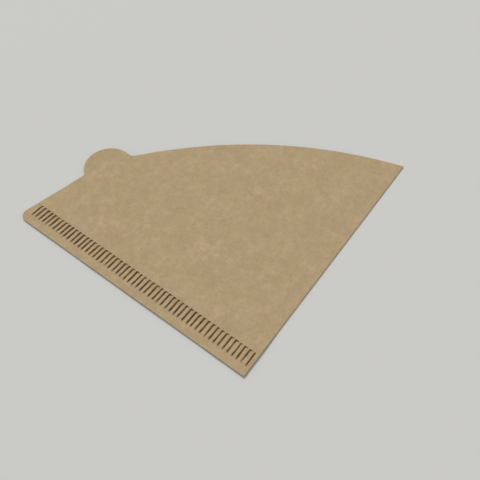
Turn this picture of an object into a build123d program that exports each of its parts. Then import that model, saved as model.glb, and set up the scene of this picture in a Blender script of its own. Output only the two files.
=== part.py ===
"""Paper filter for a pour-over coffee cone, lying flat as it comes out of its pack.

One sheet of paper is folded once. The fold runs along +X and the two straight edges opposite it
are pressed together in a toothed band along +Y, so the sheet opens into a cone whose tip is the
corner between them. The rim is a flat arc with a rounded tab for lifting the filter out, and a
straight shoulder between the tab and the seam.
Sizes are in millimetres. +Z is up, and the filter lies on its lower ply.
"""

from build123d import *
from math import atan2, degrees, hypot, sqrt
import os

# The cone and its rim
slant = 115.0  # from the cone's tip to the rim, along the fold and along the seam
rim_radius = 193.6  # the cut of the rim, flatter than a circle about the tip
shoulder_cut = 11.1  # how far past the slant the rim's arc would reach along the seam
corner_radius = 3.5  # where the shoulder meets the seam's free edge

# The paper
paper = 0.2  # one ply
fold_radius = 0.9 * paper  # outside of the crease, on each face

# The pull tab on the rim
tab_radius = 11.1
tab_rise = 8.1  # how far the tab stands out of the rim's arc
tab_from_seam = 42.5  # from the seam's free edge to the middle of the tab
tab_blend_fold_side = 3.0
tab_blend_seam_side = 0.6

# The toothed seam
seam_margin = 4.0  # plain strip outside the teeth
tooth_length = 5.6  # across the seam
tooth_pitch = 2.085  # along the seam
ridge_width = 1.0
ridge_height = 0.25  # how far a ridge is pressed up out of the sheet
ridge_wall = 0.15  # how much narrower the groove under a ridge is, on each side
first_tooth = 2.45  # from the fold to the middle of the first tooth
last_tooth_clearance = 2.0  # least distance from the last tooth's middle to the rim

# How far the plies part by themselves
mouth_gap = 0.9  # between the plies, one slant from the tip
mouth_peak = 0.42  # where the gap is widest, as a share of the way from fold to seam
seam_inset = 0.5  # the plies stay together for this far inside the teeth

# Worked out from the sizes above
tip_x = seam_margin + tooth_length
fold_length = tip_x + slant
arc_rise = slant + shoulder_cut
rim_chord = hypot(slant, arc_rise)
rim_back = sqrt(rim_radius**2 - rim_chord**2 / 4) / rim_chord
rim_centre_x = tip_x + slant / 2 - rim_back * arc_rise
rim_centre_y = arc_rise / 2 - rim_back * slant
sheet_thickness = 2 * paper
tooth_count = int((slant - last_tooth_clearance - first_tooth) / tooth_pitch) + 1


def rim_height(x, radius):
    """How far from the fold a circle about the rim's centre is, at x along the fold."""
    return rim_centre_y + sqrt(radius**2 - (x - rim_centre_x) ** 2)


def tab_centre():
    """Middle of the tab's circle, near the rim's arc."""
    reach = rim_radius + tab_rise - tab_radius
    return Vector(tab_from_seam, rim_height(tab_from_seam, reach))


def shoulder_slope():
    """Degrees that the shoulder falls from the seam to where the arc passes under the tab."""
    fall = slant - rim_height(tab_from_seam, rim_radius)
    return degrees(atan2(fall, tab_from_seam - tip_x))


def plain_outline():
    """The folded filter's outline without its tab, with the tip's corner at the origin."""
    corner = Rectangle(2 * fold_length, 2 * fold_length, align=(Align.MIN, Align.MIN))
    arc_side = Pos(rim_centre_x, rim_centre_y) * Circle(rim_radius)
    below = Rectangle(4 * slant, 4 * slant, align=(Align.CENTER, Align.MAX))
    shoulder_side = Pos(tip_x, slant) * Rot(0, 0, -shoulder_slope()) * below
    sheet = corner & arc_side & shoulder_side
    seam_corner = sheet.vertices().group_by(Axis.X)[0].sort_by(Axis.Y)[-1]
    return fillet(seam_corner, corner_radius)


def outline():
    """The folded filter's outline, with the tab blended into the rim on both sides."""
    plain = plain_outline()
    sheet = plain + Pos(tab_centre()) * Circle(tab_radius)
    notches = [v for v in sheet.vertices() if is_notch(v, plain)]
    seam_side, fold_side = sorted(notches, key=lambda v: v.X)
    sheet = fillet(fold_side, tab_blend_fold_side)
    seam_side = sheet.vertices().sort_by_distance(seam_side)[0]
    return fillet(seam_side, tab_blend_seam_side)


def is_notch(vertex, plain):
    """True at the two points where the tab's circle crosses the plain outline."""
    near = 0.01
    from_middle = (Vector(vertex) - tab_centre()).length
    return abs(from_middle - tab_radius) < near and vertex.distance_to(plain) < near


def space_between_plies():
    """The shallow cone of air between the plies, from the tip out past the rim."""
    apex = Vector(tip_x + seam_inset, paper, paper)
    reach = 2 * slant
    fold_end = apex + Vector(reach, 0, 0)
    seam_end = apex + Vector(0, reach, 0)
    peak_foot = fold_end + (seam_end - fold_end) * mouth_peak
    peak_height = mouth_gap * (peak_foot - apex).length / slant
    roof = Spline(fold_end, peak_foot + Vector(0, 0, peak_height), seam_end)
    section = Face(Wire([roof, Line(seam_end, fold_end)]))
    return loft([Vertex(*apex), section], ruled=True)


def folded_plies(sheet):
    """Two plies joined at the fold and along the seam, open at the rim."""
    flat = extrude(sheet, sheet_thickness)
    crease = flat.edges().filter_by(Axis.X).group_by(Axis.Y)[0]
    flat = fillet(crease, fold_radius)
    air = space_between_plies()
    column = extrude(sheet, sheet_thickness + 4 * mouth_gap)
    risen = (Pos(0, 0, paper) * air) & column
    return flat + risen - air


def tooth_box(middle, width, low, high):
    """A block across the toothed band, centred on one tooth."""
    block = Box(tooth_length, width, high - low)
    return Pos(seam_margin + tooth_length / 2, middle, (low + high) / 2) * block


def toothed_seam(filter_body):
    """Presses the row of ridges up out of the seam, each with its groove beneath."""
    middles = [first_tooth + i * tooth_pitch for i in range(tooth_count)]
    crest = sheet_thickness + ridge_height
    groove_width = ridge_width - 2 * ridge_wall
    ridges = [tooth_box(y, ridge_width, paper, crest) for y in middles]
    grooves = [tooth_box(y, groove_width, 0, ridge_height) for y in middles]
    return filter_body + ridges - grooves


def coffee_filter():
    """The whole filter, centred over the surface that it lies on."""
    body = toothed_seam(folded_plies(outline()))
    middle = body.bounding_box().center()
    return Pos(-middle.X, -middle.Y, 0) * body


os.makedirs("parts", exist_ok=True)
export_step(coffee_filter(), "parts/filter_paper.step")
print("teeth", tooth_count, "fold length", fold_length)
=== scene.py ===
"""Looks of the paper coffee filter: one folded sheet of unbleached paper with a toothed seam.

The mesh is the real sheet. Half of the flat blank is meshed once, then laid twice, as the upper and
the lower ply, and carried round the fold between them. The paper has its real thickness throughout.
The blank's outline and the teeth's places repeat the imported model's sizes, in millimetres.
"""

import math

import bmesh
import bpy
import numpy as np
from mathutils import Matrix, Vector, geometry, noise


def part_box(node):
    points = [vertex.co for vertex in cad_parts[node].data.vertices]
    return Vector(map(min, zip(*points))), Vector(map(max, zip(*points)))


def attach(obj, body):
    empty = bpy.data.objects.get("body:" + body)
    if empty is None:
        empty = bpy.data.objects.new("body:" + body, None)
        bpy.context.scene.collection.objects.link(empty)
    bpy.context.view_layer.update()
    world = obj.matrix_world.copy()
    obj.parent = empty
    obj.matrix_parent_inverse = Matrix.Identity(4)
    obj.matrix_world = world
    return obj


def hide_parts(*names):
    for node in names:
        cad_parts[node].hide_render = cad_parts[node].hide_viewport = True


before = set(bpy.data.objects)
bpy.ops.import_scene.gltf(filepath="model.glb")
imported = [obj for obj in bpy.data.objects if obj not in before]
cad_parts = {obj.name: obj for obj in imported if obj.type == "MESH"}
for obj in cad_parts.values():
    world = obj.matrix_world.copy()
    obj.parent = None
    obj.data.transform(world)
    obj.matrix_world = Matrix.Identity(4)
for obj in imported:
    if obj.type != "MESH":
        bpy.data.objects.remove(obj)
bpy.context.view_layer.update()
node_low, node_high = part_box("filter_paper")

MM = 0.001

# The cone and its rim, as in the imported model
SEAM_MARGIN = 4.0
TOOTH_LENGTH = 5.6
TIP_X = SEAM_MARGIN + TOOTH_LENGTH
FOLD_LENGTH = (node_high.x - node_low.x) / MM
SLANT = FOLD_LENGTH - TIP_X
RIM_RADIUS = 193.6
SHOULDER_CUT = 11.1
CORNER_RADIUS = 3.5
TAB_RADIUS = 11.1
TAB_RISE = 8.1
TAB_FROM_SEAM = 42.5
TAB_BLEND_FOLD_SIDE = 3.0
TAB_BLEND_SEAM_SIDE = 0.6
PAPER = 0.2
TOOTH_PITCH = 2.085
FIRST_TOOTH = 2.45
LAST_TOOTH_CLEARANCE = 2.0
TOOTH_COUNT = int((SLANT - LAST_TOOTH_CLEARANCE - FIRST_TOOTH) / TOOTH_PITCH) + 1

# One tooth along the seam, measured from the middle of the steep wall below its ridge
WALL_FROM_RIDGE = 0.5  # from the wall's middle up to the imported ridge's middle
TROUGH_END = -0.12  # the pocket's floor ends here and the steep wall starts
CREST_START = 0.26
CREST_END = 0.72
SLOPE_END = 1.62  # the long slope from the crest is down at the next pocket's floor
CREST = 0.16
TROUGH = -0.30
INNER_END_WALL = 0.16
OUTER_END_WALL = 0.5
EVEN_DEPTH = 0.55  # share of a tooth's depth that is the same however hard it was pressed
LIGHTEST = 0.55  # the lightest press of a tooth, as a share of the hardest
TOOTH_WANDER = 0.12  # how far a steep wall's middle strays from its place
TOOTH_TILT = 1.2  # how far a wall's two ends stray apart, as a share of the wander
FIRST_FADE = 0.3  # the teeth start over this length and end over the next one
LAST_FADE = 0.5
WANDER_SEED = 11
DEPTH_SEED = 5
CRUSH_SHADE_SEED = 8
SPARE_TEETH = 4  # values drawn for points past the first and the last tooth

# The crushed paper of one tooth, darkened further as painted shade of its walls: a line along its steep
# wall that hooks at its inner end
LINE_DROP = 0.05  # how far below the wall's middle the line lies
LINE_FULL = 0.21  # fully crushed up to this far from the line's middle
LINE_GONE = 0.41
LINE_OUTER_END = (SEAM_MARGIN - 0.75, SEAM_MARGIN - 0.35)  # it fades in between these
LINE_INNER_END = (TIP_X + 0.12, TIP_X - 0.08)
BLOB = 0.09  # how much wider it is near its outer end
BLOB_AT = SEAM_MARGIN + 0.2
BLOB_REACH = 0.6
HOOK = 0.85  # strength of the hook, as a share of the line's
HOOK_FULL = 0.70  # fully crushed up to this far below the wall
HOOK_GONE = 1.25
HOOK_START = (TIP_X - 0.6, TIP_X - 0.3)
BACK = 0.45  # strength of the faint line on the pocket's other side
BACK_LINE = 1.22  # from the steep wall down to that line
BACK_HALF = 0.25
BACK_START = (TIP_X - 3.2, TIP_X - 0.8)
EVEN_DARKNESS = 0.5  # share of a line's darkness that is the same however hard it was pressed
CRUSH_SHADE_PATCHES = 0.6  # how uneven the dark lines of crushed paper and painted shade are

# How the sheet lies
FOLD_REACH = 0.26  # from the crease's outermost line to where the plies run flat
FOLD_STEPS = 8
BEND_LENGTH = math.pi * FOLD_REACH
MOUTH_GAP = 0.9
MOUTH_PEAK = 0.42
CLOSED_GAP = 0.015  # between plies that touch
FOLD_GAP = 0.12
FOLD_GAP_REACH = 2.5  # the fold's gap is closed this far from it
FLOOR_GAP = 0.02  # under the lower ply where it lies flat
LEAST_FLOOR_GAP = 0.01
SEAM_LIFT = 0.32  # the seam stands on the undersides of its own pockets
LIFT_REACH = 14.0  # the lower ply is down again this far inside the teeth
RIPPLE = 0.16  # unevenness of both plies
COCKLE = 0.25  # finer unevenness, as a share of that
QUIET_BY_SEAM = 25.0  # the plies lie still near the seam and the fold
QUIET_BY_FOLD = 20.0
MARGIN_WAVE = 0.16  # unevenness of the strip outside the teeth
MARGIN_FADE = (SEAM_MARGIN + 1.0, SEAM_MARGIN - 1.0)
TAB_CURL = 0.15
CURL_BEFORE_RIM = 4.0  # the tab starts to turn up this far inside the rim
CURL_ROUND_TAB = 6.0  # and the turn dies out over this distance round the tab
LOWER_CURL = 0.7  # share of the turn that both plies make, and the rest parts them

# Slow waves: where in the noise each one starts, and the size of its swells
LOWER_SWELL = (3.1, 34.0)
UPPER_SWELL = (7.7, 30.0)
UPPER_COCKLE = (1.3, 11.0)
MARGIN_SWELL = (9.2, 9.0)
CRUSH_SHADE_SWELL = (4.4, 1.3)

# Mesh steps
GRID = 1.5
RIM_STEP = 0.9
TAB_STEP = 0.6
BLEND_STEP = 0.25
CORNER_STEP = 0.5
WALL_ROWS = 5  # rows up a steep wall, and as many down a long slope
BELOW_SLOPE_ROW = 0.12  # one more row this far below the slope's end
POCKET_ROW = -0.30  # and one in the pocket
END_STEPS = 3  # steps of the mesh down each end of a tooth
MIDDLE_COLUMNS = 4
OUTSIDE_COLUMNS = (0.7, 0.35)  # outside the teeth's outer ends
HOOK_COLUMNS = (0.9, 0.5, 0.32)  # before their inner ends
INSIDE_COLUMNS = (0.12, 0.42)  # past their inner ends
MARGIN_COLUMNS = (1.0, 2.0, 2.85)  # from the seam's free edge
MARGIN_STEP = 1.0
PAST_LAST_TOOTH = 0.4
BAND_END_STEP = 0.6
BAND_END_LENGTH = 5.0
NEAR_COLUMN = (0.55, 0.55, 0.6)  # past the teeth's columns: how far, its step, its first point
FAR_COLUMN = (1.3, 0.95, 0.9)
GRID_FROM_TEETH = 2.5
GRID_FROM_FOLD = 0.7
ROW_FROM_FOLD = 0.25

INSIDE_SHIFT = 40.0  # the inner skin's pattern is another part of the same paper
SHARP_FROM = math.radians(50)  # faces that turn more than this meet in a sharp edge

# The map that the finish is baked through: spans across the square image
MAP_MARGIN = 0.003
OUTER_SKIN = (0.003, 0.780)
INNER_SKIN = (0.788, 0.980)
CUT_STRIP = (0.986, 0.998)

# The paper's fibres
FIBRE_WANDER = (1.2, 1.2, 0.0)  # how far they bend aside
FIBRE_SIDE = (0.12, 0.26)  # where a fibre's side starts and ends, as a share of its size

# Colours of the paper, linear
DARK_PULP = (0.376, 0.270, 0.152)
LIGHT_PULP = (0.500, 0.371, 0.228)
OLIVE_PULP = (0.432, 0.330, 0.178)
DENSE_PULP = (0.366, 0.270, 0.152)
PALE_GRAIN = (0.560, 0.428, 0.278)
SMUDGE = (0.215, 0.145, 0.075)
FLECK = (0.130, 0.080, 0.038)
PALE_FIBRE = (0.600, 0.490, 0.330)
# dark brown of crushed fibres, also used as painted shade on the teeth's steep walls and inner ends
CRUSH_AND_SHADE_BROWN = (0.088, 0.040, 0.007)
CUT_DARK = (0.430, 0.320, 0.190)
CUT_PALE = (0.600, 0.480, 0.320)

ARC_RISE = SLANT + SHOULDER_CUT
RIM_CHORD = math.hypot(SLANT, ARC_RISE)
RIM_BACK = math.sqrt(RIM_RADIUS**2 - RIM_CHORD**2 / 4) / RIM_CHORD
RIM_CENTRE = np.array([TIP_X + SLANT / 2 - RIM_BACK * ARC_RISE, ARC_RISE / 2 - RIM_BACK * SLANT])


def rim_height(x, radius):
    """How far from the fold a circle about the rim's centre is, at x along the fold."""
    return RIM_CENTRE[1] + math.sqrt(radius**2 - (x - RIM_CENTRE[0]) ** 2)


TAB_CENTRE = np.array([TAB_FROM_SEAM, rim_height(TAB_FROM_SEAM, RIM_RADIUS + TAB_RISE - TAB_RADIUS)])
SHOULDER_START = np.array([TIP_X, SLANT])
SHOULDER_RUN = np.array([TAB_FROM_SEAM, rim_height(TAB_FROM_SEAM, RIM_RADIUS)]) - SHOULDER_START
SHOULDER_RUN /= np.linalg.norm(SHOULDER_RUN)
SHOULDER_OUT = np.array([-SHOULDER_RUN[1], SHOULDER_RUN[0]])


# ---------------------------------------------------------------- the blank's outline


def arc(centre, radius, start, end, step):
    """Points on a circle from one point to another, the short way, without the last one."""
    a = math.atan2(start[1] - centre[1], start[0] - centre[0])
    b = math.atan2(end[1] - centre[1], end[0] - centre[0])
    turn = (b - a + math.pi) % (2 * math.pi) - math.pi
    count = max(2, round(abs(turn) * radius / step))
    angles = a + turn * np.arange(count) / count
    return np.stack([centre[0] + radius * np.cos(angles), centre[1] + radius * np.sin(angles)], 1)


def meeting(c0, r0, c1, r1, side):
    """Where two circles cross, on the side of the line between them that side's sign gives."""
    d = np.linalg.norm(c1 - c0)
    along = (c1 - c0) / d
    reach = (d * d + r0 * r0 - r1 * r1) / (2 * d)
    rise = math.sqrt(r0 * r0 - reach * reach)
    return c0 + along * reach + side * rise * np.array([-along[1], along[0]])


def fold_side_blend(radius):
    """The small circle between the rim's arc and the tab, and its touching points on each."""
    middle = meeting(RIM_CENTRE, RIM_RADIUS + radius, TAB_CENTRE, TAB_RADIUS + radius, -1)
    on_rim = RIM_CENTRE + (middle - RIM_CENTRE) * RIM_RADIUS / (RIM_RADIUS + radius)
    return middle, on_rim, touch_of_tab(middle, radius)


def seam_side_blend(radius):
    """The small circle between the tab and the shoulder, and its touching points on each."""
    along, out = (TAB_CENTRE - SHOULDER_START) @ np.array([SHOULDER_RUN, SHOULDER_OUT]).T
    along -= math.sqrt((TAB_RADIUS + radius) ** 2 - (out - radius) ** 2)
    foot = SHOULDER_START + along * SHOULDER_RUN
    middle = foot + radius * SHOULDER_OUT
    return middle, touch_of_tab(middle, radius), foot


def touch_of_tab(middle, radius):
    """Where a small circle of that radius touches the tab's circle from outside."""
    return TAB_CENTRE + (middle - TAB_CENTRE) * TAB_RADIUS / (TAB_RADIUS + radius)


def seam_corner():
    """The corner circle's middle, and its touching points on the shoulder and the seam."""
    along = (CORNER_RADIUS * (1 + SHOULDER_OUT[0]) - SHOULDER_START[0]) / SHOULDER_RUN[0]
    foot = SHOULDER_START + along * SHOULDER_RUN
    middle = foot - CORNER_RADIUS * SHOULDER_OUT
    return middle, foot, np.array([0.0, middle[1]])


def straight(start, end, steps):
    """Evenly spaced points from start towards end, without the last one."""
    share = np.arange(steps)[:, None] / steps
    return np.asarray(start) + share * (np.asarray(end) - np.asarray(start))


def outline():
    """The blank's half from the crease to the rim, anticlockwise, as points in order."""
    fold_rim = np.array([0.0, FOLD_REACH])
    fold_rim[0] = RIM_CENTRE[0] + math.sqrt(RIM_RADIUS**2 - (FOLD_REACH - RIM_CENTRE[1]) ** 2)
    f_mid, f_rim, f_tab = fold_side_blend(TAB_BLEND_FOLD_SIDE)
    s_mid, s_tab, s_shoulder = seam_side_blend(TAB_BLEND_SEAM_SIDE)
    k_mid, k_shoulder, k_seam = seam_corner()
    tab_top = TAB_CENTRE + np.array([0.0, TAB_RADIUS])
    runs = [
        straight((0.0, FOLD_REACH), fold_rim, round(FOLD_LENGTH / GRID)),
        arc(RIM_CENTRE, RIM_RADIUS, fold_rim, f_rim, RIM_STEP),
        arc(f_mid, TAB_BLEND_FOLD_SIDE, f_rim, f_tab, BLEND_STEP),
        arc(TAB_CENTRE, TAB_RADIUS, f_tab, tab_top, TAB_STEP),
        arc(TAB_CENTRE, TAB_RADIUS, tab_top, s_tab, TAB_STEP),
        arc(s_mid, TAB_BLEND_SEAM_SIDE, s_tab, s_shoulder, BLEND_STEP),
        straight(s_shoulder, k_shoulder, round(TAB_FROM_SEAM / RIM_STEP)),
        arc(k_mid, CORNER_RADIUS, k_shoulder, k_seam, CORNER_STEP),
        straight(k_seam, (0.0, FOLD_REACH), round(SLANT / MARGIN_STEP)),
    ]
    return np.concatenate(runs)


def depth_inside(points):
    """How far each point is inside the outline, in millimetres; negative outside."""
    x, y = points[:, 0], points[:, 1]
    to_rim = RIM_RADIUS - np.linalg.norm(points - RIM_CENTRE, axis=1)
    to_shoulder = (SHOULDER_START - points) @ SHOULDER_OUT
    sheet = np.minimum.reduce([x, y - FOLD_REACH, to_rim, to_shoulder])
    corner_middle = seam_corner()[0]
    in_corner = (x < corner_middle[0]) & (y > corner_middle[1])
    to_corner = CORNER_RADIUS - np.linalg.norm(points - corner_middle, axis=1)
    sheet = np.where(in_corner, to_corner, sheet)
    tab = TAB_RADIUS - np.linalg.norm(points - TAB_CENTRE, axis=1)
    return np.maximum(sheet, tab)


# ---------------------------------------------------------------- the blank's mesh


def steep_walls():
    """Where along the seam each tooth's steep wall is."""
    return FIRST_TOOTH - WALL_FROM_RIDGE + TOOTH_PITCH * np.arange(TOOTH_COUNT)


def tooth_rows():
    """Heights along the seam of the mesh rows that shape the teeth, wall by wall."""
    slope_end = SLOPE_END - TOOTH_PITCH
    offsets = [slope_end, TROUGH_END]
    offsets += list(np.linspace(TROUGH_END, CREST_START, WALL_ROWS)[1:])
    offsets += [(CREST_START + CREST_END) / 2]
    offsets += list(np.linspace(CREST_END, SLOPE_END, WALL_ROWS)[:-1])
    offsets += [slope_end - BELOW_SLOPE_ROW, POCKET_ROW]
    rows = (steep_walls()[:, None] + np.array(offsets)).ravel()
    clear_of_fold = 0.1
    return np.unique(np.round(rows[rows > FOLD_REACH + clear_of_fold], 4))


def tooth_columns():
    """Distances from the seam's free edge of the mesh columns that shape the teeth's ends."""
    steps = np.arange(END_STEPS + 1)
    outer = SEAM_MARGIN + OUTER_END_WALL * steps / END_STEPS
    inner = TIP_X - INNER_END_WALL * steps[::-1] / END_STEPS
    before = SEAM_MARGIN - np.array(OUTSIDE_COLUMNS)
    hooks = TIP_X - np.array(HOOK_COLUMNS)
    middle = np.linspace(outer[-1], hooks[0], MIDDLE_COLUMNS + 2)[1:-1]
    past = TIP_X + np.array(INSIDE_COLUMNS)
    return np.concatenate([before, outer, middle, hooks, inner, past])


def crossings(xs, ys, least):
    """Points where columns at xs meet rows at ys, at least so deep inside the outline."""
    points = np.array([(x, y) for x in xs for y in ys])
    return points[depth_inside(points) > least]


def column(placing, least):
    """One column of points past the teeth's columns."""
    past, step, first = placing
    return crossings([tooth_columns()[-1] + past], np.arange(first, FOLD_LENGTH, step), least)


def inner_points():
    """Mesh points inside the outline: fine in the toothed band, coarser over the rest."""
    rows, columns = tooth_rows(), tooth_columns()
    last = rows[-1]
    beyond = np.arange(last + PAST_LAST_TOOTH, last + BAND_END_LENGTH, BAND_END_STEP)
    grid_xs = np.arange(columns[-1] + GRID_FROM_TEETH, FOLD_LENGTH, GRID)
    grid_ys = np.arange(FOLD_REACH + GRID_FROM_FOLD, FOLD_LENGTH, GRID)
    groups = [
        crossings(columns, rows, least=0.06),
        crossings(columns[::3], beyond, least=0.25),
        column(NEAR_COLUMN, least=0.3),
        column(FAR_COLUMN, least=0.4),
        crossings(MARGIN_COLUMNS, np.arange(MARGIN_STEP, FOLD_LENGTH, MARGIN_STEP), least=0.4),
        crossings(grid_xs, grid_ys, least=0.55),
        crossings(np.arange(1.0, FOLD_LENGTH, GRID), [FOLD_REACH + ROW_FROM_FOLD], least=0.12),
    ]
    return np.concatenate(groups)


def blank_mesh():
    """The blank's half as points and faces, with the outline's points first."""
    edge = outline()
    points = np.concatenate([edge, inner_points()])
    loop = [(i, (i + 1) % len(edge)) for i in range(len(edge))]
    inside_only, same_point = 1, 1e-6
    cut = geometry.delaunay_2d_cdt([Vector(p) for p in points], loop, [], inside_only, same_point)
    built = bmesh.new()
    corners = [built.verts.new((p.x, p.y, 0.0)) for p in cut[0]]
    for face in cut[2]:
        built.faces.new([corners[i] for i in face])
    bmesh.ops.join_triangles(
        built, faces=built.faces, angle_face_threshold=0.1, angle_shape_threshold=math.radians(50)
    )
    built.verts.index_update()
    points = np.array([v.co[:2] for v in built.verts])
    faces = [[v.index for v in f.verts] for f in built.faces]
    built.free()
    return points, faces


# ---------------------------------------------------------------- how the sheet lies


def ease(t):
    """0 to 1 with level ends."""
    t = np.clip(t, 0.0, 1.0)
    return t * t * (3 - 2 * t)


def fade(value, none, full):
    """0 where the value is none, 1 where it is full, and smooth between."""
    return ease((value - none) / (full - none))


def of_tooth(number, drawn):
    """For each point, the value that was drawn for its tooth."""
    return drawn[np.clip(number.astype(int) + 1, 0, len(drawn) - 1)]


def tooth_number(x, y):
    """Which tooth each point belongs to, and its distance up from that tooth's steep wall."""
    first = FIRST_TOOTH - WALL_FROM_RIDGE
    start = SLOPE_END - TOOTH_PITCH
    number = np.floor((y - first - start) / TOOTH_PITCH)
    drawn = np.random.default_rng(WANDER_SEED).uniform(-1, 1, (TOOTH_COUNT + SPARE_TEETH, 2))
    shift, tilt = of_tooth(number, drawn).T
    across = (x - (SEAM_MARGIN + TIP_X) / 2) / TOOTH_LENGTH
    stray = TOOTH_WANDER * (shift + TOOTH_TILT * tilt * across)
    return number, y - first - number * TOOTH_PITCH + stray


def toothed(y):
    """1 along the toothed stretch of the seam, 0 before the first and past the last tooth."""
    first, last = steep_walls()[[0, -1]]
    begin = ease((y - first - SLOPE_END + TOOTH_PITCH) / FIRST_FADE)
    return begin * ease((last + SLOPE_END - y) / LAST_FADE)


def tooth_profile(off):
    """Height across one tooth: pocket floor, steep wall, crest and the long slope down."""
    rise = fade(off, TROUGH_END, CREST_START) - fade(off, CREST_END, SLOPE_END)
    return TROUGH + (CREST - TROUGH) * rise


def strength(number, seed):
    """How hard each tooth was pressed, up to 1, one value for each tooth."""
    drawn = np.random.default_rng(seed).uniform(LIGHTEST, 1.0, TOOTH_COUNT + SPARE_TEETH)
    return of_tooth(number, drawn)


def in_band(x):
    """1 over the teeth's length, falling to 0 at their two ends."""
    return ease((x - SEAM_MARGIN) / OUTER_END_WALL) * ease((TIP_X - x) / INNER_END_WALL)


def relief(x, y):
    """Height of the teeth above or below the plain seam."""
    number, off = tooth_number(x, y)
    depth = EVEN_DEPTH + (1 - EVEN_DEPTH) * strength(number, DEPTH_SEED)
    return tooth_profile(off) * in_band(x) * toothed(y) * depth


def mouth(x, y):
    """Space between the plies: a shallow cone that opens from the tip to the rim."""
    dx, dy = np.maximum(x - TIP_X, 0.0), np.maximum(y - FOLD_REACH, 0.0)
    reach = np.hypot(dx, dy)
    way = np.arctan2(dy, dx) / (math.pi / 2)
    power = math.log(0.5) / math.log(MOUTH_PEAK)
    cone = MOUTH_GAP * reach / SLANT * np.sin(math.pi * np.clip(way, 0, 1) ** power)
    by_fold = ease(1 - (y - FOLD_REACH) / FOLD_GAP_REACH)
    return CLOSED_GAP + (FOLD_GAP - CLOSED_GAP) * by_fold + np.where(x > TIP_X, cone, 0.0)


def quiet(x, y):
    """0 at the seam and at the fold, 1 away from both."""
    return ease((x - TIP_X) / QUIET_BY_SEAM) * ease(y / QUIET_BY_FOLD)


def swell(x, y, start, size):
    """Smooth noise, about -1 to 1, with swells of that size."""
    return np.array([noise.noise(Vector((a / size, b / size, start))) for a, b in zip(x, y)])


def tab_curl(points):
    """The tab turns up a little towards its end."""
    past_start = np.linalg.norm(points - RIM_CENTRE, axis=1) - RIM_RADIUS + CURL_BEFORE_RIM
    from_tab = np.linalg.norm(points - TAB_CENTRE, axis=1) - TAB_RADIUS
    near_tab = fade(from_tab, CURL_ROUND_TAB, 0.0)
    return TAB_CURL * near_tab * np.clip(past_start / TAB_RISE, 0, 2) ** 2


def lying(points):
    """Heights of the lower ply's underside and the upper ply's top at each point."""
    x, y = points[:, 0], points[:, 1]
    calm = quiet(x, y)
    curl = tab_curl(points)
    lower_wave = 0.5 * RIPPLE * (1 + calm * swell(x, y, *LOWER_SWELL)) * calm
    margin_wave = MARGIN_WAVE * swell(x, y, *MARGIN_SWELL) * fade(x, *MARGIN_FADE)
    lift = SEAM_LIFT * (1 - ease((x - TIP_X) / LIFT_REACH))
    low = FLOOR_GAP + lift + relief(x, y) + lower_wave + margin_wave
    low = np.maximum(low, LEAST_FLOOR_GAP) + LOWER_CURL * curl
    upper_wave = swell(x, y, *UPPER_SWELL) + COCKLE * swell(x, y, *UPPER_COCKLE)
    gap = mouth(x, y) + RIPPLE * calm * upper_wave + (1 - LOWER_CURL) * curl
    return low, low + 2 * PAPER + np.maximum(gap, CLOSED_GAP)


def crush_and_wall_shade(points):
    """How hard the paper is crushed, together with painted shade of the walls, along each tooth's steep
    wall, hook and back line.
    """
    x, y = points[:, 0], points[:, 1]
    number, off = tooth_number(x, y)
    below = np.where(off < 0, -off, TOOTH_PITCH - off)
    blob = BLOB * ease(1 - np.abs(x - BLOB_AT) / BLOB_REACH)
    # the line and the hook lie on walls turned away from the light: partly crushed paper, partly painted
    # shade
    line = fade(np.abs(off + LINE_DROP) - blob, LINE_GONE, LINE_FULL) * fade(x, *LINE_OUTER_END)
    hook = HOOK * fade(x, *HOOK_START) * fade(below, HOOK_GONE, HOOK_FULL)
    back = BACK * ease(1 - np.abs(below - BACK_LINE) / BACK_HALF) * fade(x, *BACK_START)
    marks = np.maximum.reduce([line, hook, back]) * fade(x, *LINE_INNER_END)
    patchy = 1.0 + CRUSH_SHADE_PATCHES * swell(x, y, *CRUSH_SHADE_SWELL)
    faded = EVEN_DARKNESS + (1 - EVEN_DARKNESS) * strength(number, CRUSH_SHADE_SEED)
    return np.clip(marks * patchy * faded, 0, 1) * toothed(y)


# ---------------------------------------------------------------- the folded sheet


def crease_points(flat):
    """Which of the blank's points lie on the crease's edge, in order along it."""
    near = 1e-4
    found = np.flatnonzero(np.abs(flat[:, 1] - FOLD_REACH) < near)
    return found[np.argsort(flat[found, 0])]


def round_crease(x, low, top, inset, angle):
    """One row of points round the crease, on the outer skin or inset from it."""
    y = FOLD_REACH - (FOLD_REACH - inset) * math.cos(angle)
    half = (top - low) / 2 - inset
    return np.c_[x, np.full_like(x, y), (top + low) / 2 + half * math.sin(angle)]


def skin_faces(ply, crease, count):
    """Faces of one skin, seen from outside: the upper ply, the lower ply and the bend."""
    skin = [list(f) for f in ply]
    skin += [[i + count for i in reversed(f)] for f in ply]
    length = len(crease)
    rails = [crease]
    rails += [2 * count + step * length + np.arange(length) for step in range(FOLD_STEPS - 1)]
    rails.append(crease + count)
    for above, below in zip(rails, rails[1:]):
        for i in range(length - 1):
            skin.append([above[i], below[i], below[i + 1], above[i + 1]])
    return skin


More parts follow.
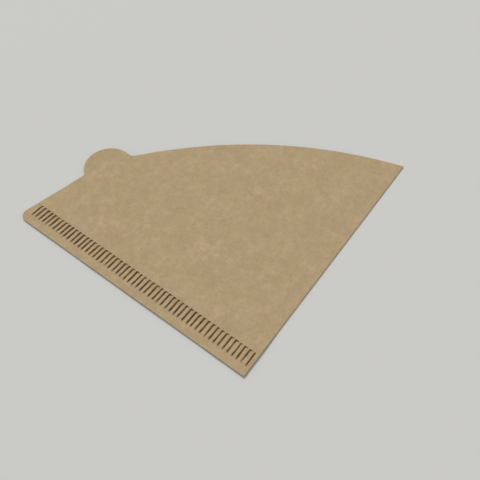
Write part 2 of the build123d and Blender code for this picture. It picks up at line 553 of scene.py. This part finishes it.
def folded_sheet():
    """Both skins' points, the blank's own coordinates, the crush with its painted wall shade, and one
    skin's faces.

    The own coordinates are x along the crease and s across it, with s = 0 on the crease.
    """
    flat, ply = blank_mesh()
    low, top = lying(flat)
    # darkness of the teeth for each point: crushed paper and painted shade of their walls
    crush_shade = crush_and_wall_shade(flat)
    crease = crease_points(flat)
    x = flat[crease, 0]
    outer = [np.c_[flat, top], np.c_[flat, low]]
    inner = [np.c_[flat, top - PAPER], np.c_[flat, low + PAPER]]
    s = flat[:, 1] - FOLD_REACH + BEND_LENGTH / 2
    own = [np.c_[flat[:, 0], s], np.c_[flat[:, 0], -s]]
    for step in range(1, FOLD_STEPS):
        share = 0.5 - step / FOLD_STEPS
        for skin, inset in ((outer, 0.0), (inner, PAPER)):
            skin.append(round_crease(x, low[crease], top[crease], inset, math.pi * share))
        own.append(np.c_[x, np.full_like(x, BEND_LENGTH * share)])
    crushed_and_shaded = np.concatenate([crush_shade, crush_shade, np.zeros(len(x) * (FOLD_STEPS - 1))])
    faces = skin_faces(ply, crease, len(flat))
    return np.concatenate(outer), np.concatenate(inner), np.concatenate(own), crushed_and_shaded, faces


def in_order(cut_edges):
    """The cut edges, each starting where the last one ends."""
    follow = dict(cut_edges)
    at = cut_edges[0][0]
    ordered = []
    for _ in cut_edges:
        ordered.append((at, follow[at]))
        at = follow[at]
    return ordered


def with_thickness(outer, inner, skin):
    """Joins the two skins along every cut edge. The cut faces come last, in order round the cut."""
    count = len(outer)
    sides = {(int(a), int(b)) for face in skin for a, b in zip(face, face[1:] + face[:1])}
    cut_edges = in_order(sorted((a, b) for a, b in sides if (b, a) not in sides))
    faces = [list(map(int, f)) for f in skin]
    faces += [[int(i) + count for i in reversed(f)] for f in skin]
    faces += [[b, a, a + count, b + count] for a, b in cut_edges]
    return np.concatenate([outer, inner]), faces, len(cut_edges)


def bake_map(mesh, blank, skin_count, cut_count):
    """Lays the outer skin, the inner skin and the cut edge side by side on a square image."""
    corners = np.empty(len(mesh.loops), dtype=np.int32)
    mesh.loops.foreach_get("vertex_index", corners)
    span = np.ptp(blank[:, :2], axis=0)
    across, along = ((blank[:, :2] - blank[:, :2].min(axis=0)) / span).T
    inside = blank[:, 2] > 0
    start = np.where(inside, INNER_SKIN[0], OUTER_SKIN[0])
    width = np.where(inside, INNER_SKIN[1], OUTER_SKIN[1]) - start
    places = np.stack([start + width * across, MAP_MARGIN + (1 - 2 * MAP_MARGIN) * along], 1)[corners]
    first = sum(len(f.vertices) for f in mesh.polygons[: 2 * skin_count])
    step = np.arange(cut_count)[:, None] / cut_count
    near, far = CUT_STRIP
    strip_u = np.tile([near, near, far, far], cut_count)
    strip_v = (step + np.array([1, 0, 0, 1]) / cut_count).ravel()
    places[first:] = np.stack([strip_u, MAP_MARGIN + (1 - 2 * MAP_MARGIN) * strip_v], 1)
    layer = mesh.uv_layers.new(name="OFBake")
    layer.data.foreach_set("uv", places.astype(np.float32).ravel())


def filter_sheet():
    """The folded filter as one Blender object, in the row frame."""
    outer, inner, sheet, crushed_and_shaded, skin = folded_sheet()
    points, faces, cut_faces = with_thickness(outer, inner, skin)
    corner = np.array([node_low.x, node_low.y, 0.0])
    mesh = bpy.data.meshes.new("filter_sheet")
    mesh.from_pydata((points * MM + corner).tolist(), [], faces)
    mesh.update()
    side = np.r_[np.zeros(len(outer)), np.full(len(inner), INSIDE_SHIFT)]
    own = np.c_[np.tile(sheet, (2, 1)), side].astype(np.float32)
    blank = mesh.attributes.new("blank", "FLOAT_VECTOR", "POINT")
    blank.data.foreach_set("vector", own.ravel())
    # the teeth's darkness, crushed paper and painted shade, kept on each point
    crush_shade = mesh.attributes.new("crush_and_wall_shade", "FLOAT", "POINT")
    crush_shade.data.foreach_set("value", np.tile(crushed_and_shaded, 2).astype(np.float32))
    first_cut = len(faces) - cut_faces
    mesh.polygons.foreach_set("material_index", [int(i >= first_cut) for i in range(len(faces))])
    bake_map(mesh, own, len(skin), cut_faces)
    mesh.shade_smooth()
    mesh.set_sharp_from_angle(angle=SHARP_FROM)
    piece = bpy.data.objects.new("filter_sheet", mesh)
    bpy.context.scene.collection.objects.link(piece)
    return piece


def flat_size():
    """The unfolded blank's width along the fold, its length across it, and its area, in metres."""
    edge = outline()
    half_bend = BEND_LENGTH / 2
    x, y = edge[:, 0], edge[:, 1] - FOLD_REACH
    ply = abs(np.dot(x, np.roll(y, -1)) - np.dot(y, np.roll(x, -1))) / 2
    length = 2 * (y.max() + half_bend)
    area = 2 * (ply + half_bend * x.max())
    return (FOLD_LENGTH * MM, length * MM), area * MM * MM


# ---------------------------------------------------------------- materials


def node(tree, kind, **settings):
    """A new node with some of its inputs or properties set."""
    made = tree.nodes.new(kind)
    for name, value in settings.items():
        if name in made.inputs:
            made.inputs[name].default_value = value
        else:
            setattr(made, name, value)
    return made


def stretched(tree, source, scale, turn=0.0):
    """The coordinates scaled, and turned about the blank's normal."""
    mapping = node(tree, "ShaderNodeMapping")
    mapping.inputs["Rotation"].default_value = (0.0, 0.0, turn)
    mapping.inputs["Scale"].default_value = scale
    tree.links.new(source, mapping.inputs["Vector"])
    return mapping.outputs["Vector"]


def noise_of(tree, source, scale, detail=2.0, rough=0.5):
    """Noise with that many features to a millimetre of the blank."""
    made = node(tree, "ShaderNodeTexNoise", Scale=scale, Detail=detail, Roughness=rough)
    tree.links.new(source, made.inputs["Vector"])
    return made.outputs["Fac"]


def between(tree, value, start, end=(0.0, 1.0)):
    """The value brought from the start range to the end range, clamped."""
    made = node(tree, "ShaderNodeMapRange")
    for name, number in zip(("From Min", "From Max", "To Min", "To Max"), (*start, *end)):
        made.inputs[name].default_value = number
    tree.links.new(value, made.inputs["Value"])
    return made.outputs["Result"]


def mixed(tree, share, first, second):
    """A colour mix; first and second are sockets or colours."""
    made = node(tree, "ShaderNodeMix", data_type="RGBA")
    share_in, first_in, second_in = made.inputs[0], made.inputs[6], made.inputs[7]
    colour_out = made.outputs[2]
    for socket, value in ((first_in, first), (second_in, second)):
        if isinstance(value, tuple):
            socket.default_value = (*value, 1.0)
        else:
            tree.links.new(value, socket)
    tree.links.new(share, share_in)
    return colour_out


def maths(tree, operation, a, b):
    """A sum, product or larger value; a and b are sockets or numbers."""
    made = node(tree, "ShaderNodeMath", operation=operation)
    for socket, value in zip(made.inputs, (a, b)):
        if isinstance(value, float):
            socket.default_value = value
        else:
            tree.links.new(value, socket)
    return made.outputs[0]


def fibres(tree, source, length, width, turn, kept):
    """Short fibres lying about one way: 1 on a fibre, 0 off it. Kept is the share that shows."""
    wander = node(tree, "ShaderNodeTexNoise", Scale=0.35, Detail=1.0)
    tree.links.new(source, wander.inputs["Vector"])
    bent = node(tree, "ShaderNodeVectorMath", operation="MULTIPLY_ADD")
    tree.links.new(wander.outputs["Color"], bent.inputs[0])
    bent.inputs[1].default_value = FIBRE_WANDER
    tree.links.new(source, bent.inputs[2])
    cells = node(tree, "ShaderNodeTexVoronoi", Scale=1.0, Randomness=1.0)
    at = stretched(tree, bent.outputs[0], (1 / length, 1 / width, 1.0), turn)
    tree.links.new(at, cells.inputs["Vector"])
    core = between(tree, cells.outputs["Distance"], FIBRE_SIDE, (1.0, 0.0))
    tone = node(tree, "ShaderNodeSeparateColor")
    tree.links.new(cells.outputs["Color"], tone.inputs[0])
    chosen = between(tree, tone.outputs[0], (kept, kept + 0.02), (1.0, 0.0))
    return maths(tree, "MULTIPLY", core, chosen)


def new_material(name):
    """A new material: its node tree, its shader and the blank's own coordinates."""
    material = bpy.data.materials.new(name)
    material.use_nodes = True
    tree = material.node_tree
    own = node(tree, "ShaderNodeAttribute", attribute_name="blank").outputs["Vector"]
    return material, tree, tree.nodes["Principled BSDF"], own


def pulp(tree, own):
    """Mottled brown pulp: slow clouds of tone and hue, denser patches and a fine pale grain."""
    clouds = between(tree, noise_of(tree, own, scale=0.10, detail=4.0, rough=0.8), (0.36, 0.64))
    colour = mixed(tree, clouds, DARK_PULP, LIGHT_PULP)
    hue = noise_of(tree, own, scale=0.08, detail=3.0, rough=0.6)
    colour = mixed(tree, between(tree, hue, (0.36, 0.64), (0.0, 0.8)), colour, OLIVE_PULP)
    patches = noise_of(tree, own, scale=0.30, detail=2.0, rough=0.7)
    colour = mixed(tree, between(tree, patches, (0.38, 0.62), (0.0, 0.6)), colour, DENSE_PULP)
    grain = between(tree, noise_of(tree, own, scale=1.1, detail=2.0, rough=0.6), (0.34, 0.66))
    return mixed(tree, maths(tree, "MULTIPLY", grain, 0.18), colour, PALE_GRAIN)


def smudged(tree, own, colour):
    """Small dark smudges, drawn out along two directions or round."""
    for scale, turn, least, amount in (
        ((0.55, 1.7, 1.0), 0.35, 0.640, 0.50),
        ((1.6, 0.6, 1.0), -0.25, 0.650, 0.46),
        ((1.2, 1.2, 1.0), 0.0, 0.700, 0.75),
    ):
        smudge = noise_of(tree, stretched(tree, own, scale, turn), scale=1.0, detail=2.0, rough=0.6)
        smudge = between(tree, smudge, (least, least + 0.09), (0.0, amount))
        colour = mixed(tree, smudge, colour, SMUDGE)
    return colour


def flecked(tree, own, colour):
    """A few dark fibres and specks, and more pale fibres."""
    for tone, length, width, turn, kept, amount in (
        (FLECK, 1.9, 0.30, 0.25, 0.030, 0.60),
        (FLECK, 1.6, 0.28, 1.75, 0.025, 0.55),
        (FLECK, 0.9, 0.50, 0.9, 0.012, 0.70),
        (PALE_FIBRE, 2.6, 0.32, 2.6, 0.14, 0.24),
    ):
        fleck = fibres(tree, own, length, width, turn, kept)
        colour = mixed(tree, maths(tree, "MULTIPLY", fleck, amount), colour, tone)
    return colour


def crushed_and_shaded(tree, own, colour):
    """Dark, slightly uneven lines where the teeth have crushed the fibres, and painted shade on their
    steep walls and inner ends.
    """
    crush_shade = node(tree, "ShaderNodeAttribute", attribute_name="crush_and_wall_shade").outputs["Fac"]
    uneven = between(tree, noise_of(tree, own, scale=1.1), (0.3, 0.7), (0.75, 1.0))
    return mixed(tree, maths(tree, "MULTIPLY", crush_shade, uneven), colour, CRUSH_AND_SHADE_BROWN)


def felt(tree, own):
    """The paper's fine, felted surface, as a slight bump."""
    fine = noise_of(tree, own, scale=3.2, detail=4.0, rough=0.7)
    fibrous = noise_of(tree, stretched(tree, own, (1.0, 2.6, 1.0), 0.3), scale=1.2, detail=3.0, rough=0.6)
    height = maths(tree, "ADD", maths(tree, "MULTIPLY", fine, 0.6), maths(tree, "MULTIPLY", fibrous, 0.8))
    bump = node(tree, "ShaderNodeBump", Strength=0.35, Distance=0.00006)
    tree.links.new(height, bump.inputs["Height"])
    return bump.outputs["Normal"]


def paper_material():
    """Unbleached filter paper: mottled pulp, dark flecks, dark teeth of crushed paper and painted shade.
    """
    material, tree, shader, own = new_material("unbleached_paper")
    colour = flecked(tree, own, smudged(tree, own, pulp(tree, own)))
    tree.links.new(crushed_and_shaded(tree, own, colour), shader.inputs["Base Color"])
    rough = between(tree, noise_of(tree, own, scale=2.4), (0.3, 0.7), (0.86, 0.97))
    tree.links.new(rough, shader.inputs["Roughness"])
    tree.links.new(felt(tree, own), shader.inputs["Normal"])
    shader.inputs["Specular IOR Level"].default_value = 0.14
    shader.inputs["Sheen Weight"].default_value = 0.03
    shader.inputs["Sheen Roughness"].default_value = 0.6
    return material


def cut_edge_material():
    """The cut edge: paler, fibrous and rougher than the faces."""
    material, tree, shader, own = new_material("cut_paper_edge")
    fray = between(tree, noise_of(tree, own, scale=3.0, detail=3.0, rough=0.7), (0.3, 0.7))
    tree.links.new(mixed(tree, fray, CUT_DARK, CUT_PALE), shader.inputs["Base Color"])
    shader.inputs["Roughness"].default_value = 0.95
    shader.inputs["Specular IOR Level"].default_value = 0.2
    return material


# ---------------------------------------------------------------- stage, light and camera


def floor():
    """A plain pale floor that runs far past the camera's view."""
    size = 4.0
    mesh = bpy.data.meshes.new("floor")
    corners = [(-size, -size, 0.0), (size, -size, 0.0), (size, size, 0.0), (-size, size, 0.0)]
    mesh.from_pydata(corners, [], [(0, 1, 2, 3)])
    plane = bpy.data.objects.new("floor", mesh)
    bpy.context.scene.collection.objects.link(plane)
    material = bpy.data.materials.new("floor")
    material.use_nodes = True
    shader = material.node_tree.nodes["Principled BSDF"]
    shader.inputs["Base Color"].default_value = (0.60, 0.598, 0.580, 1.0)
    shader.inputs["Roughness"].default_value = 0.9
    shader.inputs["Specular IOR Level"].default_value = 0.2
    mesh.materials.append(material)


def soft_sun(name, towards, energy, spread):
    """A distant lamp that shines from the given side, as soft as a window of that spread."""
    data = bpy.data.lights.new(name, "SUN")
    data.energy = energy
    data.angle = math.radians(spread)
    lamp = bpy.data.objects.new(name, data)
    lamp.rotation_euler = Vector(towards).to_track_quat("Z", "Y").to_euler()
    bpy.context.scene.collection.objects.link(lamp)


def lights():
    """An even room and one broad, soft light from behind the filter, past its rim."""
    world = bpy.data.worlds.new("room")
    world.use_nodes = True
    tree = world.node_tree
    back = tree.nodes["Background"]
    back.inputs["Color"].default_value = (1.0, 0.995, 0.975, 1.0)
    path = node(tree, "ShaderNodeLightPath")
    seen = maths(tree, "MAXIMUM", path.outputs["Is Camera Ray"], path.outputs["Is Glossy Ray"])
    seen = maths(tree, "MAXIMUM", seen, path.outputs["Is Transmission Ray"])
    on_the_object, as_seen = 0.52, 0.60
    strength_of_room = between(tree, seen, (0.0, 1.0), (on_the_object, as_seen))
    tree.links.new(strength_of_room, back.inputs["Strength"])
    bpy.context.scene.world = world
    soft_sun("window", towards=(0.42, 0.62, 0.75), energy=2.05, spread=28.0)


def camera():
    """From the tip's side, well above the sheet, with the rim across the top of the view."""
    data = bpy.data.cameras.new("camera")
    data.sensor_width = 36.0
    data.lens = 39.89
    tip_corner = Vector((node_low.x, node_low.y, 0.0))
    eye = tip_corner + Vector((-0.05784, -0.03524, 0.17837))
    aim = tip_corner + Vector((0.04627, 0.03564, 0.0))
    roll = math.radians(2.423)
    turn = (aim - eye).to_track_quat("-Z", "Y").to_matrix()
    spin = Matrix.Rotation(roll, 3, "Z")
    view = bpy.data.objects.new("camera", data)
    view.location = eye
    view.rotation_euler = (turn @ spin).to_euler()
    bpy.context.scene.collection.objects.link(view)
    bpy.context.scene.camera = view


camera()
lights()
floor()
sheet = filter_sheet()
sheet.data.materials.append(paper_material())
sheet.data.materials.append(cut_edge_material())
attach(sheet, "root")
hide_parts("filter_paper")
blank_size, blank_area = flat_size()

bpy.context.scene.view_settings.view_transform = "Standard"
